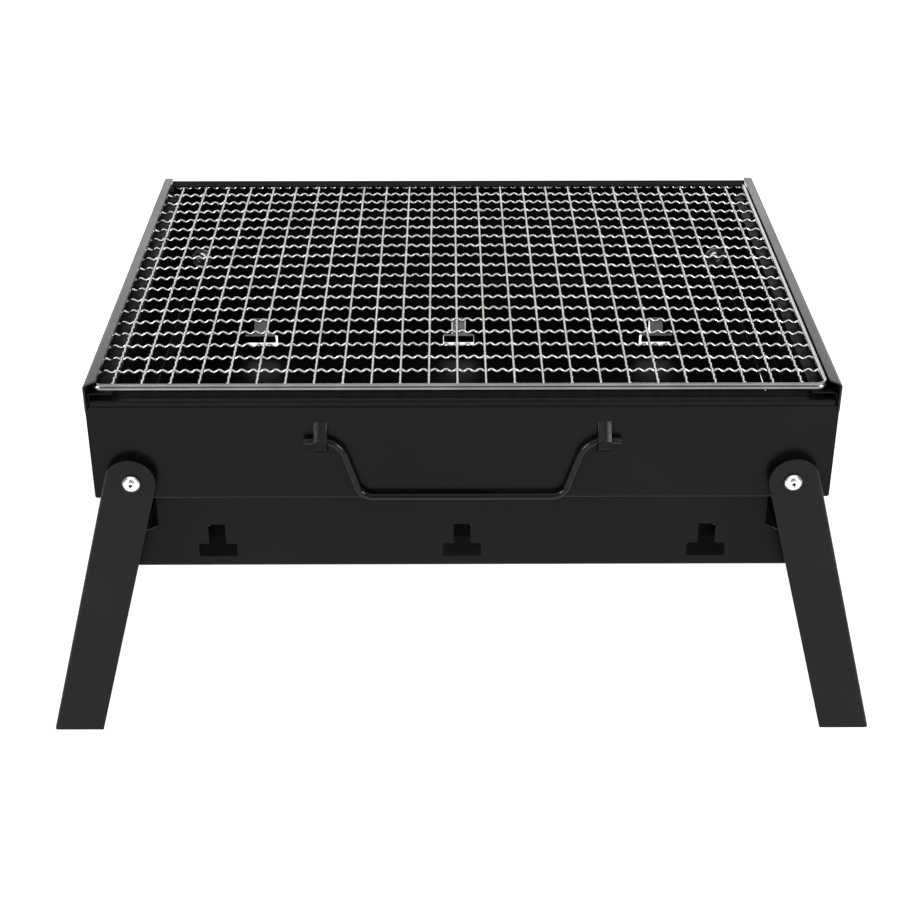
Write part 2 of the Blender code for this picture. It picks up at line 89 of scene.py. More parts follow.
# Sheet metal.
SHEET = 0.0008
HALF_SHEET = SHEET / 2
GAP = 0.0003
BEND_RADIUS = 0.0013
BEND_STEPS = 8
EDGE_ROUND = 0.00016
EDGE_ANGLE = math.radians(38)
WELD_DISTANCE = 0.00002
FLAT_ANGLE = math.radians(0.4)
CUT_PAST = 0.005
TRIM_PAST = 0.0001

# Where the matt inside paint, a shade darker as painted shade, and the other extra
# paints go (painted light on the vent tabs, painted highlight on the straps): how far
# a face looks up or inwards, as a share of straight up or in, and each paint's
# material slot.
TRAY_FACES_UP = 0.5
WALL_FACES_UP = 0.9
FACES_IN = 0.2
INSIDE_SHADE_SLOT = 2
TAB_LIGHT_SLOT = 3
STRAP_HIGHLIGHT_SLOT = 4

# Body walls. A drop is measured down from the rim.
FRONT_LEDGE_DROP = 0.0091
FRONT_LEDGE = 0.008
FRONT_LEDGE_RISE = 0.0012
HEM_BAND = 0.0017
HEM_GROOVE = 0.0013
HEM_GROOVE_DEPTH = 0.0005
HEM_BEND = 0.00045
LEDGE_BAND = 0.0015
LEDGE_GROOVE = 0.0017
LEDGE_GROOVE_DEPTH = 0.0006
REAR_TOP_DROP = 0.0004
REAR_FLANGE = 0.007
REAR_FLANGE_FALL = 0.0016
BOTTOM_LIP = 0.0133
WALL_CORNER_RADIUS = 0.0022
CLOSE_FIT = 0.00006
SKIRT_OVERLAP = 0.003
END_LEDGE_DROP = 0.0055
END_LEDGE = 0.012
END_LIP = 0.0112
CORNER_FLANGE = 0.0105
RAIL_FLANGE = 0.0052
RAIL_SKIRT_DROP = 0.0145
RAIL_MITRE = 0.0042

# Fire tray and its T-shaped air vents. The tops of the vents' tabs lie between
# TAB_LOWEST and TAB_HIGHEST over the tray's bottom; their upward faces there get
# a pale grey paint as painted light.
TRAY_HALF_DEPTH = 0.1207
TRAY_END_FLANGE = 0.008
TRAY_NOTCH_X = 0.150
TRAY_NOTCH_DROP = 0.086
TRAY_NOTCH_SLOPE_DROP = 0.094
VENT_PITCH = 0.1214
VENT_TOP_DROP = 0.0851
VENT_STEM_WIDTH = 0.0084
VENT_STEM_LENGTH = 0.0112
VENT_BAR_WIDTH = 0.0190
VENT_LENGTH = 0.0187
VENT_CORNER_RADIUS = 0.0009
TAB_DROOP = math.radians(35)
TAB_BEND = 0.0126
TAB_CORNER = 0.0002
TAB_FOOT_TURN = math.radians(80)
TAB_LOWEST = 0.012
TAB_HIGHEST = 0.030
TAB_FACES_UP = 0.5

# Legs, with the strips outside the walls and the web at the outer side.
LEG_SPLAY = math.radians(15)
LEG_SHEET = 0.001
LEG_STANDOFF = 0.0043
LEG_INNER = 0.0114
LEG_OUTER = 0.0129
LEG_WEB_START = 0.118
LEG_EDGE_FLANGE = 0.0014
STOP_TAB_START = 0.0156
STOP_TAB_END = 0.030
STOP_TAB_DEPTH = 0.0123
STOP_TAB_ROUND = 0.001
STOP_TAB_ROOT_ROUND = 0.0008
WEB_END_ROUND = 0.003
PIVOT_HOLE_RADIUS = 0.0026
HOLE_STEPS = 32
TURNED_STEPS = 56
SHANK_RADIUS = 0.0023
DIMPLE_RADIUS = 0.0014
DIMPLE_DEPTH = 0.0009
PIT_SHADE_RADIUS = 0.00095
HEAD_RADIUS = 0.0043
HEAD_RIM = 0.0004
DOME_POWER = 2.4
TAIL_RADII = (0.004, 0.0038, 0.0031)
SPACER_RADIUS = 0.0065
WASHER_RADIUS = 0.006
WASHER_THICKNESS = 0.001
RING_ROUND = 0.0002

# Carry handle and its straps.
HANDLE_SHOULDER_X = 0.0662
HANDLE_SHOULDER_RADIUS = 0.0110
HANDLE_ELBOW_RADIUS = 0.008
HANDLE_TURN = math.radians(72)
HANDLE_CAP = 0.3
STRAP_X = 0.0668
STRAP_WIDTH = 0.0061
STRAP_TOP_DROP = 0.0200
STRAP_BOTTOM_DROP = 0.0365
STRAP_BULGE = 0.0049
STRAP_SLOPE_HEIGHT = 0.0084
STRAP_RETURN_HEIGHT = 0.0045
STRAP_BEND = 0.0011
STRAP_ROOT = 0.001
STRAP_RIB = 0.0011
STRAP_DISH = 0.25
STRAP_DISH_SINK = 0.4
STRAP_RIB_START = 0.05
STRAP_RIB_END = 0.62
STRAP_RIB_FADE = 0.25
STRAP_COLUMNS = 16
STRAP_FACES_UP = 0.3

# Woven grate: wires along Y and across X, crimped in step with each other.
MESH_WIRE = 0.00125
LONG_WIRES = 25
CROSS_WIRES = 19
LONG_PITCH = 0.01343
CROSS_PITCH = 0.01358
FIRST_LONG_X = -0.1635
FIRST_CROSS_Y = 0.1290
HALF_WAVES = 5
STEPS_PER_HALF_WAVE = 5
MESH_CROWN = 0.0018
MESH_REAR_RISE = 0.0007
BORDER_COVER = 0.001
BORDER_CORNER_RADIUS = 0.0055
WELD_SWELL = 0.45
WELD_LENGTH = 0.0009

# Stage and camera.
FLOOR_HALF_SIZE = 40.0
FLOOR_DROP = 0.0002
FLOOR_GLOW = 0.92
WORLD_GLOW = 0.25
STAGE_CENTRE = (0, 0, 0.15)
CAMERA_LENS = 68.77
CAMERA_PLACE = (-0.0074, -0.8513, RIM + 0.3654)
CAMERA_DOWN = math.radians(29.35)
CAMERA_TURN = math.radians(-0.27)


# Paths and outlines in two dimensions.

def arc(centre, radius, start, turn, steps):
    """Points along an arc, with both its ends."""
    angles = [start + turn * step / steps for step in range(steps + 1)]
    return [centre + radius * Vector((math.cos(a), math.sin(a))) for a in angles]


def fillet(before, corner, after, radius, steps):
    """The arc that rounds one corner of a path."""
    back = (before - corner).normalized()
    ahead = (after - corner).normalized()
    half_angle = back.angle(ahead) / 2
    reach = radius / math.tan(half_angle)
    centre = corner + (back + ahead).normalized() * radius / math.sin(half_angle)
    first = corner + back * reach - centre
    last = corner + ahead * reach - centre
    turn = math.atan2(first.x * last.y - first.y * last.x, first.dot(last))
    return arc(centre, radius, math.atan2(first.y, first.x), turn, steps)


def rounded_path(corners, radii=BEND_RADIUS, steps=BEND_STEPS):
    """An open path whose inner corners are rounded, by one radius or each its own."""
    points = [Vector(corner) for corner in corners]
    if not isinstance(radii, (list, tuple)):
        radii = [radii] * (len(points) - 2)
    path = [points[0]]
    for index, radius in enumerate(radii):
        path += fillet(*points[index:index + 3], radius, steps)
    return path + [points[-1]]


def rounded_outline(corners, radii, steps=BEND_STEPS):
    """A closed outline whose corners are rounded, by one radius or each its own."""
    points = [Vector(corner) for corner in corners]
    if not isinstance(radii, (list, tuple)):
        radii = [radii] * len(points)
    outline = []
    for index, (corner, radius) in enumerate(zip(points, radii)):
        if radius:
            after = points[(index + 1) % len(points)]
            outline += fillet(points[index - 1], corner, after, radius, steps)
        else:
            outline.append(corner)
    return outline


def rectangle(half_x, half_y, centre_x=0.0, centre_y=0.0):
    signs = ((-1, -1), (1, -1), (1, 1), (-1, 1))
    return [Vector((centre_x + sx * half_x, centre_y + sy * half_y)) for sx, sy in signs]


def strip_outline(path, thickness=SHEET):
    """The closed section of a sheet of even thickness, from its centre line."""
    sides = ([], [])
    for index, point in enumerate(path):
        ways = [(b - a).normalized() for a, b in zip(path[max(index - 1, 0):index + 2],
                                                     path[max(index, 1):index + 2])]
        way = sum(ways, Vector((0, 0))).normalized()
        reach = thickness / 2 / way.dot(ways[0])
        normal = Vector((-way.y, way.x)) * reach
        sides[0].append(point + normal)
        sides[1].append(point - normal)
    return sides[0] + sides[1][::-1]


# Solids.

def mesh_object(name, bm):
    mesh = bpy.data.meshes.new(name)
    bm.to_mesh(mesh)
    bm.free()
    obj = bpy.data.objects.new(name, mesh)
    bpy.context.scene.collection.objects.link(obj)
    return obj


def prism(name, outline, low, high, place):
    """A solid with this outline (u, v), from w = low to high. place(u, v, w) gives
    a point of it in the frame."""
    bm = bmesh.new()
    rings = [[bm.verts.new(place(point.x, point.y, w)) for point in outline]
             for w in (low, high)]
    for ring in rings:
        bm.faces.new(ring)
    count = len(outline)
    for index in range(count):
        following = (index + 1) % count
        bm.faces.new((rings[0][index], rings[0][following],
                      rings[1][following], rings[1][index]))
    bmesh.ops.recalc_face_normals(bm, faces=bm.faces)
    return mesh_object(name, bm)


def upright(u, v, w):
    """Outline in the XZ plane, thickness along Y."""
    return (u, w, v)


def sideways(u, v, w):
    """Outline in the YZ plane, thickness along X."""
    return (w, u, v)


def level(u, v, w):
    """Outline in the XY plane, thickness along Z."""
    return (u, v, w)


def into_front(u, v, w):
    """Section of a front sheet: u runs inwards from the front wall's outer face."""
    return (w, u - BODY_HALF_Y, v)


def into_rear(u, v, w):
    """Section of a rear sheet: u runs inwards from the rear wall's outer face."""
    return (w, BODY_HALF_Y - u, v)


def into_end(side, face_x):
    """Section of a sheet along one end: u runs inwards from face_x."""
    return lambda u, v, w: (side * (face_x - u), w, v)


def rod(name, radius, low, high, x, z):
    """A round cutter along Y."""
    outline = arc(Vector((x, z)), radius, 0, math.tau, HOLE_STEPS)[:-1]
    return prism(name, outline, low, high, upright)


def bake(obj):
    """Apply the object's modifiers to its mesh."""
    depsgraph = bpy.context.evaluated_depsgraph_get()
    mesh = bpy.data.meshes.new_from_object(obj.evaluated_get(depsgraph), depsgraph=depsgraph)
    old = obj.data
    obj.modifiers.clear()
    obj.data = mesh
    bpy.data.meshes.remove(old)
    mesh.name = obj.name


def combine(target, tools, operation="DIFFERENCE"):
    """Cut, join or trim a piece with tool objects, which are then removed."""
    for tool in tools:
        modifier = target.modifiers.new(tool.name, "BOOLEAN")
        modifier.operation = operation
        modifier.object = tool
    bake(target)
    for tool in tools:
        bpy.data.objects.remove(tool, do_unlink=True)


def swept(points, radii, normal, sides, closed=False):
    """A round wire along points that lie in the plane with this normal."""
    points = np.array(points, float)
    count = len(points)
    radii = np.broadcast_to(np.asarray(radii, float), (count,))
    if closed:
        ahead = np.roll(points, -1, 0) - np.roll(points, 1, 0)
    else:
        ahead = np.gradient(points, axis=0)
    ahead /= np.linalg.norm(ahead, axis=1)[:, None]
    normal = np.array(normal, float)
    across = np.cross(ahead, normal)
    across /= np.linalg.norm(across, axis=1)[:, None]
    angles = np.arange(sides) * math.tau / sides
    ring = (np.cos(angles)[None, :, None] * across[:, None, :]
            + np.sin(angles)[None, :, None] * normal[None, None, :])
    verts = points[:, None, :] + ring * radii[:, None, None]
    faces = []
    for index in range(count if closed else count - 1):
        here = index * sides
        there = (index + 1) % count * sides
        faces += [(here + side, here + (side + 1) % sides,
                   there + (side + 1) % sides, there + side) for side in range(sides)]
    if not closed:
        faces += [tuple(range(sides))[::-1],
                  tuple(range((count - 1) * sides, count * sides))]
    return verts.reshape(-1, 3), faces


def wires_object(name, wires):
    """One object from several swept wires."""
    mesh = bpy.data.meshes.new(name)
    verts, faces, offset = [], [], 0
    for wire_verts, wire_faces in wires:
        verts.append(wire_verts)
        faces += [tuple(index + offset for index in face) for face in wire_faces]
        offset += len(wire_verts)
    mesh.from_pydata(np.concatenate(verts).tolist(), [], faces)
    obj = bpy.data.objects.new(name, mesh)
    bpy.context.scene.collection.objects.link(obj)
    bm = bmesh.new()
    bm.from_mesh(mesh)
    bmesh.ops.recalc_face_normals(bm, faces=bm.faces)
    bm.to_mesh(mesh)
    bm.free()
    return obj


def turned(name, profile, place):
    """A turned piece. The closed profile is (radius, height) points, and
    place(x, height, z) gives a point of it in the frame."""
    bm = bmesh.new()
    rings = []
    for radius, height in profile:
        if radius == 0:
            rings.append([bm.verts.new(place(0.0, height, 0.0))])
        else:
            around = arc(Vector((0.0, 0.0)), radius, 0.0, math.tau, TURNED_STEPS)[:-1]
            rings.append([bm.verts.new(place(spot.x, height, spot.y)) for spot in around])
    following = rings[1:] + rings[:1]
    for ring, after in zip(rings, following):
        for step in range(TURNED_STEPS):
            corners = [ring[step % len(ring)], ring[(step + 1) % len(ring)],
                       after[(step + 1) % len(after)], after[step % len(after)]]
            distinct = list(dict.fromkeys(corners))
            if len(distinct) > 2:
                bm.faces.new(distinct)
    bmesh.ops.recalc_face_normals(bm, faces=bm.faces)
    return mesh_object(name, bm)


# Finishing a piece.

def clean(obj):
    """Weld and simplify what the cuts left behind."""
    bm = bmesh.new()
    bm.from_mesh(obj.data)
    bmesh.ops.remove_doubles(bm, verts=bm.verts, dist=WELD_DISTANCE)
    bmesh.ops.dissolve_limit(bm, angle_limit=FLAT_ANGLE, verts=bm.verts, edges=bm.edges)
    bm.to_mesh(obj.data)
    bm.free()


def round_edges(obj, paint):
    """Round every edge. paint is a pair: the faces' material and the rounds'."""
    clean(obj)
    obj.data.materials.clear()
    for material in paint:
        obj.data.materials.append(material)
    obj.data.polygons.foreach_set("material_index", [0] * len(obj.data.polygons))
    bevel = obj.modifiers.new("round_edges", "BEVEL")
    bevel.width = EDGE_ROUND
    bevel.segments = 2
    bevel.limit_method = "ANGLE"
    bevel.angle_limit = EDGE_ANGLE
    bevel.material = 1
    shade(obj)
    weighted = obj.modifiers.new("flat_faces", "WEIGHTED_NORMAL")
    weighted.keep_sharp = True
    bake(obj)


def inside_shade_and_tab_light(obj, faces_up=TRAY_FACES_UP):
    """Give faces that look inwards, or upwards by more than faces_up, the matt
    inside paint, a shade darker as painted shade, and the upward faces of the vent
    tabs' tops a pale grey paint as painted light."""
    mesh = obj.data
    mesh.materials.append(INSIDE_SHADE_PAINT)
    mesh.materials.append(TAB_PAINTED_LIGHT)
    for face in mesh.polygons:
        normal, centre = face.normal, face.center
        outwards = (normal.x * centre.x / BODY_HALF_X + normal.y * centre.y / BODY_HALF_Y)
        if normal.z > faces_up or outwards < -FACES_IN:
            face.material_index = INSIDE_SHADE_SLOT
        over_floor = centre.z - TRAY_LOW.z
        # Painted light: the upward faces of the vent tabs' tops get a pale grey paint.
        if normal.z > TAB_FACES_UP and TAB_LOWEST < over_floor < TAB_HIGHEST:
            face.material_index = TAB_LIGHT_SLOT


def shade(obj, sharp=50):
    """Smooth shading, apart from edges sharper than this many degrees."""
    mesh = obj.data
    mesh.polygons.foreach_set("use_smooth", [True] * len(mesh.polygons))
    mesh.set_sharp_from_angle(angle=math.radians(sharp))


def finish(obj, body, node, material=None):
    """The piece rides on its body, stands for its node and takes its finish."""
    if material:
        obj.data.materials.append(material)
    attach(obj, body)
    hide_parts(node)


# Materials.

def add_node(tree, kind, settings=None, **inputs):
    """A node with its settings and inputs. An input is a value or another socket."""
    made = tree.nodes.new(kind)
    for name, value in (settings or {}).items():
        setattr(made, name, value)
    for name, value in inputs.items():
        socket = made.inputs[int(name[1:]) if name[1:].isdigit() else name.replace("_", " ")]
        if isinstance(value, bpy.types.NodeSocket):
            tree.links.new(value, socket)
        else:
            socket.default_value = value
    return made


def new_material(name):
    """A material with its shader and the piece's own coordinates, in metres."""
    material = bpy.data.materials.new(name)
    material.use_nodes = True
    tree = material.node_tree
    shader = tree.nodes["Principled BSDF"]
    place = tree.nodes.new("ShaderNodeTexCoord").outputs["Object"]
    return material, tree, shader, place


def noise(tree, place, scale, detail=2.0, roughness=0.5):
    made = add_node(tree, "ShaderNodeTexNoise", None, Vector=place, Scale=scale,
                    Detail=detail, Roughness=roughness)
    return made.outputs["Fac"]


def ramp(tree, factor, low, high, start=0.0, end=1.0):
    """Map factor from start..end to low..high, clamped."""
    made = add_node(tree, "ShaderNodeMapRange", None, Value=factor)
    made.inputs["From Min"].default_value = start
    made.inputs["From Max"].default_value = end
    made.inputs["To Min"].default_value = low
    made.inputs["To Max"].default_value = high
    return made.outputs["Result"]


def math_node(tree, operation, first, second):
    made = add_node(tree, "ShaderNodeMath", {"operation": operation}, _0=first, _1=second)
    return made.outputs["Value"]


def blend_colours(tree, factor, first, second):
    made = add_node(tree, "ShaderNodeMix", {"data_type": "RGBA"}, _0=factor, _6=first,
                    _7=second)
    return made.outputs[2]


def bumped(tree, shader, heights):
    """Chain bumps, each (height, distance), into the shader's normal."""
    normal = None
    for height, distance in heights:
        bump = add_node(tree, "ShaderNodeBump", None, Height=height, Distance=distance,
                        Strength=1.0)
        if normal is not None:
            tree.links.new(normal, bump.inputs["Normal"])
        normal = bump.outputs["Normal"]
    tree.links.new(normal, shader.inputs["Normal"])


def painted_steel(name, colour, roughness, specular, peel=0.000006, worn_colour=None):
    """Baked-on satin paint: orange peel, fine grain and cloudy gloss. With a worn
    colour, it is the rubbed paint along an edge."""
    material, tree, shader, place = new_material(name)
    cloud = noise(tree, place, 16.0, 4.0, 0.6)
    speck = noise(tree, place, 1400.0, 1.0)
    orange_peel = noise(tree, place, 520.0, 1.5)
    grain = noise(tree, place, 4200.0, 1.0)
    darker = tuple(channel * 0.8 for channel in colour)
    lighter = tuple(channel * 1.25 for channel in colour)
    base = blend_colours(tree, ramp(tree, cloud, 0.0, 1.0, 0.3, 0.7), (*darker, 1),
                         (*lighter, 1))
    if worn_colour:
        rubbed = ramp(tree, noise(tree, place, 240.0, 3.0, 0.7), 0.0, 1.0, 0.35, 0.7)
        base = blend_colours(tree, rubbed, base, (*worn_colour, 1))
    tree.links.new(base, shader.inputs["Base Color"])
    gloss = math_node(tree, "ADD", ramp(tree, cloud, roughness - 0.05, roughness + 0.05,
                                        0.3, 0.7),
                      ramp(tree, speck, -0.05, 0.05))
    tree.links.new(gloss, shader.inputs["Roughness"])
    shader.inputs["Specular IOR Level"].default_value = specular
    bumped(tree, shader, [(orange_peel, peel), (grain, 0.0000012)])
    return material


def plated_wire(name, colour, shade_colour, roughness):
    """Bright plated wire: draw marks, soft blotches and faint straw tint."""
    material, tree, shader, place = new_material(name)
    blotch = noise(tree, place, 60.0, 4.0, 0.6)
    marks = noise(tree, place, 1900.0, 2.0)
    pits = noise(tree, place, 5200.0, 1.0)
    base = blend_colours(tree, ramp(tree, blotch, 0.0, 1.0, 0.35, 0.7), (*colour, 1),
                         (*shade_colour, 1))
    tree.links.new(base, shader.inputs["Base Color"])
    shader.inputs["Metallic"].default_value = 1.0
    gloss = ramp(tree, marks, roughness - 0.07, roughness + 0.09, 0.3, 0.7)
    tree.links.new(gloss, shader.inputs["Roughness"])
    bumped(tree, shader, [(marks, 0.00001), (pits, 0.000002)])
    return material


def zinc_plate(name):
    """Dull zinc with its crystal spangle."""
    material, tree, shader, place = new_material(name)
    cells = add_node(tree, "ShaderNodeTexVoronoi", None, Vector=place, Scale=900.0)
    spangle = ramp(tree, cells.outputs["Color"], 0.0, 1.0)
    base = blend_colours(tree, spangle, (0.40, 0.41, 0.43, 1), (0.62, 0.63, 0.65, 1))
    tree.links.new(base, shader.inputs["Base Color"])
    shader.inputs["Metallic"].default_value = 1.0
    tree.links.new(ramp(tree, spangle, 0.3, 0.45), shader.inputs["Roughness"])
    bumped(tree, shader, [(noise(tree, place, 2400.0), 0.000006)])
    return material


EDGE_GREY = (0.022, 0.022, 0.022)
EDGE_SMOOTHER = 0.06
EDGE_SHINE = 1.4


def paint_pair(name, colour, roughness, specular):
    """The paint of a sheet's faces, and that of its rubbed edges."""
    return (painted_steel(name, colour, roughness, specular),
            painted_steel(name + "_edge", colour, roughness - EDGE_SMOOTHER,
                          specular * EDGE_SHINE, worn_colour=EDGE_GREY))


PAINT = paint_pair("satin_black_paint", (0.0029, 0.0029, 0.0031), 0.29, 0.116)
# A lighter copy of the black paint for the legs: painted light.
LEG_LIT_PAINT = paint_pair("leg_black_paint", (0.0044, 0.0044, 0.0046), 0.38, 0.150)
# Lighter and glossier than the walls' paint: the lighter colour is painted reflection on the
# rails' tops; the extra gloss lets the lamps add the rest.
RAIL_LIT_PAINT = paint_pair("rail_black_paint", (0.0050, 0.0050, 0.0053), 0.28, 0.40)
# Matt, and a shade darker than the outer paint, as painted shade inside the tray and on the
# ledges.
INSIDE_SHADE_PAINT = painted_steel("matt_inside_paint", (0.0026, 0.0026, 0.0027), 0.50, 0.06)
# Pale grey, far lighter than the black sheet the tabs are cut from: painted light on their tops.
TAB_PAINTED_LIGHT = painted_steel("vent_tab_paint", (0.16, 0.16, 0.16), 0.45, 0.30)
# Lighter, glossier copy of the black paint for the straps' upward faces: painted highlight.
STRAP_HIGHLIGHT_PAINT = painted_steel("strap_gloss_paint", (0.0040, 0.0040, 0.0042), 0.17, 0.70,
                            peel=0.000002)
HANDLE_PAINT = painted_steel("handle_black_paint", (0.0034, 0.0034, 0.0036), 0.17, 0.20,
                             peel=0.000003)
GRATE_CHROME = plated_wire("grate_chrome", (0.68, 0.68, 0.67), (0.52, 0.51, 0.49), 0.24)
# Much darker plating than the mesh's, as painted shade on the border wire under the rails and
# ledges.
BORDER_SHADED_CHROME = plated_wire("border_chrome", (0.27, 0.27, 0.27), (0.20, 0.20, 0.20), 0.16)
RIVET_CHROME = plated_wire("rivet_chrome", (0.86, 0.86, 0.86), (0.74, 0.74, 0.75), 0.22)
# Near-black plating: painted shade in each rivet's dimple and round its head.
RIVET_PAINTED_SHADE = plated_wire("rivet_recess", (0.030, 0.030, 0.030), (0.018, 0.018, 0.018), 0.5)
ZINC = zinc_plate("zinc_plate")


# Body walls.

def wall_trim(name, top_half_x):
    """Rounded lower corners, and upper corners that leave room for the rails."""
    foot = BODY_BOTTOM - TRIM_PAST
    notch = RIM - RAIL_SKIRT_DROP - GAP
    above = RIM + CUT_PAST
    skirt_x = BODY_HALF_X - SHEET - CLOSE_FIT
    step = notch + SKIRT_OVERLAP
    right = [(BODY_HALF_X, foot), (BODY_HALF_X, notch), (skirt_x, notch), (skirt_x, step),
             (top_half_x, step), (top_half_x, above)]
    left = [(-x, z) for x, z in reversed(right)]
    radii = [0] * len(right + left)
    radii[0] = radii[-1] = WALL_CORNER_RADIUS
    depth = BODY_HALF_Y + CUT_PAST
    return prism(name, rounded_outline(right + left, radii), -depth, depth, upright)


def pivot_holes(name):
    """Cutters for the two rivet holes of a front or rear wall."""
    reach = BODY_HALF_Y + 2 * CUT_PAST
    return [rod(f"{name}_{side}", PIVOT_HOLE_RADIUS, -reach, reach, side * PIVOT_X, PIVOT_Z)
            for side in (-1, 1)]


def clamped(value):
    return max(0.0, min(1.0, value))


def strap(side):
    """Lanced strap over the handle wire, dished between two ribs above the wire."""
    top = RIM - STRAP_TOP_DROP
    bottom = RIM - STRAP_BOTTOM_DROP
    path = rounded_path([(HALF_SHEET, top + STRAP_ROOT), (HALF_SHEET, top),
                         (-STRAP_BULGE, top - STRAP_SLOPE_HEIGHT),
                         (-STRAP_BULGE, bottom + STRAP_RETURN_HEIGHT),
                         (HALF_SHEET, bottom), (HALF_SHEET, bottom - STRAP_ROOT)],
                        STRAP_BEND, steps=6)
    across = [2 * step / STRAP_COLUMNS - 1 for step in range(STRAP_COLUMNS + 1)]
    bm = bmesh.new()
    rows = []
    for index, point in enumerate(path):
        way = path[min(index + 1, len(path) - 1)] - path[max(index - 1, 0)]
        normal = Vector((-way.y, way.x)).normalized()
        share = (top - point.y) / (top - bottom)
        fade = (clamped((STRAP_RIB_END - share) / STRAP_RIB_FADE)
                * clamped(share / STRAP_RIB_START))
        row = []
        for t in across:
            rib = clamped((abs(t) - STRAP_DISH) / (1 - STRAP_DISH))
            spot = point + normal * STRAP_RIB * fade * (rib - STRAP_DISH_SINK)
            row.append(bm.verts.new(into_front(spot.x, spot.y,
                                               side * STRAP_X + t * STRAP_WIDTH / 2)))
        rows.append(row)
    for row, after in zip(rows, rows[1:]):
        for index in range(len(across) - 1):
            bm.faces.new((row[index], row[index + 1], after[index + 1], after[index]))
    bmesh.ops.recalc_face_normals(bm, faces=bm.faces)
    made = mesh_object(f"strap_{side}", bm)
    solidify = made.modifiers.new("sheet", "SOLIDIFY")
    solidify.thickness = SHEET
    solidify.offset = 0.0
    bake(made)
    return made


def front_wall():
    """Ledge, pressed hem groove, wall and bottom lip, with the handle's straps."""
    top = RIM - FRONT_LEDGE_DROP - HALF_SHEET
    bottom = BODY_BOTTOM + HALF_SHEET
    ledge_u = HALF_SHEET + BEND_RADIUS + LEDGE_BAND
    groove_z = top - HEM_BAND
    corners = [(FRONT_LEDGE, top + FRONT_LEDGE_RISE), (ledge_u + LEDGE_GROOVE, top),
               (ledge_u + LEDGE_GROOVE / 2, top - LEDGE_GROOVE_DEPTH), (ledge_u, top),
               (HALF_SHEET, top), (HALF_SHEET, groove_z),
               (HALF_SHEET + HEM_GROOVE_DEPTH, groove_z - HEM_GROOVE / 2),
               (HALF_SHEET, groove_z - HEM_GROOVE), (HALF_SHEET, bottom),
               (BOTTOM_LIP, bottom)]
    path = rounded_path(corners, [HEM_BEND] * (len(corners) - 3) + [BEND_RADIUS])
    reach = BODY_HALF_X + CUT_PAST
    wall = prism("front_wall_panel", strip_outline(path), -reach, reach, into_front)
    combine(wall, [wall_trim("front_trim", END_FACE_X - SHEET - GAP)], "INTERSECT")
    middle = RIM - (STRAP_TOP_DROP + STRAP_BOTTOM_DROP) / 2
    half_slot = (STRAP_BOTTOM_DROP - STRAP_TOP_DROP) / 2 - HALF_SHEET
    slots = [prism(f"slot_{side}", rectangle(STRAP_WIDTH / 2 + GAP, half_slot,
                                             side * STRAP_X, middle),
                   -BODY_HALF_Y - CUT_PAST, -BODY_HALF_Y + CUT_PAST, upright)
             for side in (-1, 1)]
    combine(wall, slots + pivot_holes("front_hole"))
    combine(wall, [strap(-1), strap(1)], "UNION")
    round_edges(wall, PAINT)
    inside_shade_and_tab_light(wall, WALL_FACES_UP)
    # Painted highlight: the straps' upward faces get the lighter, glossier paint.
    wall.data.materials.append(STRAP_HIGHLIGHT_PAINT)
    for face in wall.data.polygons:
        if face.center.y < -BODY_HALF_Y - GAP and face.normal.z > STRAP_FACES_UP:
            face.material_index = STRAP_HIGHLIGHT_SLOT
    finish(wall, "body", "front_wall")


def rear_wall():
    """Falling top flange, wall and bottom lip."""
    top = RIM - REAR_TOP_DROP - HALF_SHEET
    bottom = BODY_BOTTOM + HALF_SHEET
    path = rounded_path([(REAR_FLANGE, top - REAR_FLANGE_FALL), (HALF_SHEET, top),
                         (HALF_SHEET, bottom), (BOTTOM_LIP, bottom)])
    reach = BODY_HALF_X + CUT_PAST
    wall = prism("rear_wall_panel", strip_outline(path), -reach, reach, into_rear)
    trim = wall_trim("rear_trim", BODY_HALF_X - RAIL_FLANGE - CLOSE_FIT)
    combine(wall, [trim], "INTERSECT")
    combine(wall, pivot_holes("rear_hole"))
    round_edges(wall, PAINT)
    inside_shade_and_tab_light(wall)
    finish(wall, "body", "rear_wall")


def end_wall(side, side_name):
    """Panel with a ledge for the grate and a bottom lip, and a flange at each corner."""
    top = RIM - END_LEDGE_DROP - HALF_SHEET
    bottom = BODY_BOTTOM + SHEET + GAP + HALF_SHEET
    path = rounded_path([(END_LEDGE, top), (HALF_SHEET, top), (HALF_SHEET, bottom),
                         (END_LIP, bottom)])
    room = BODY_HALF_Y - SHEET - GAP
    wall = prism(f"end_wall_{side_name}_panel", strip_outline(path), GAP - room,
                 room - GAP, into_end(side, END_FACE_X))
    flange_top = RIM - RAIL_SKIRT_DROP
    flange_bottom = bottom + HALF_SHEET + BEND_RADIUS
    inner_x = END_FACE_X - CORNER_FLANGE
    outer_x = END_FACE_X - GAP / 2
    outline = rectangle((outer_x - inner_x) / 2, (flange_top - flange_bottom) / 2,
                        side * (outer_x + inner_x) / 2, (flange_top + flange_bottom) / 2)
    flanges = [prism(f"corner_flange_{front}", outline,
                     *sorted((front * room, front * (room - SHEET))), upright)
               for front in (-1, 1)]
    combine(wall, flanges, "UNION")
    # The end wall's rounded edges take the darker inside paint, as painted shade.
    round_edges(wall, (PAINT[0], INSIDE_SHADE_PAINT))
    inside_shade_and_tab_light(wall)
    finish(wall, "body", "end_wall_" + side_name)


